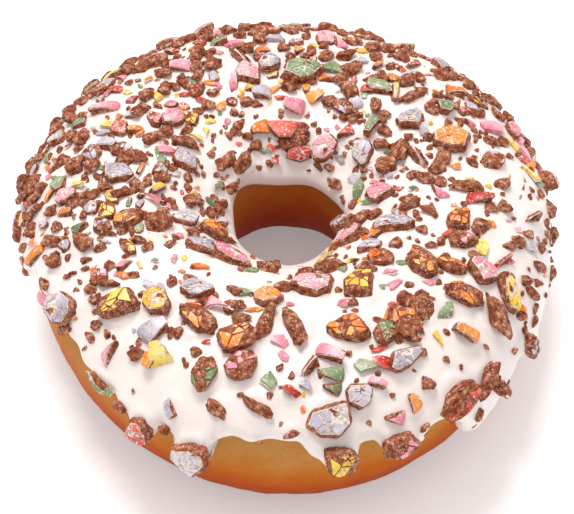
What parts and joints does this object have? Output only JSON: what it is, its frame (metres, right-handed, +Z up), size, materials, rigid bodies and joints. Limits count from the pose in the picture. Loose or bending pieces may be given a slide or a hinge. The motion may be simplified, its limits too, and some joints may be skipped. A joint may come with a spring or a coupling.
{
  "type": "sprinkle frosted doughnut",
  "caption": "Ring doughnut with thick poured white icing that drips down its side, strewn with crushed candy-coated chocolate.",
  "frame": {"origin": "centre of the box's base, on the surface the doughnut stands on", "axes": "+Z up out of the hole; -Y is the front side with the high arches and drips"},
  "size_m": [0.0925, 0.0962, 0.032],
  "materials": {
    "fried_dough": "golden fried dough, fine dry crust",
    "sugar_icing": "set poured sugar icing, soft gloss",
    "milk_chocolate": "broken milk chocolate, grainy, sugar dusted",
    "candy_shell": "broken coloured sugar shells, satin"
  },
  "bodies": {
    "root": {"dough_ring": "fried_dough", "icing": "sugar_icing"}
  },
  "joints": []
}
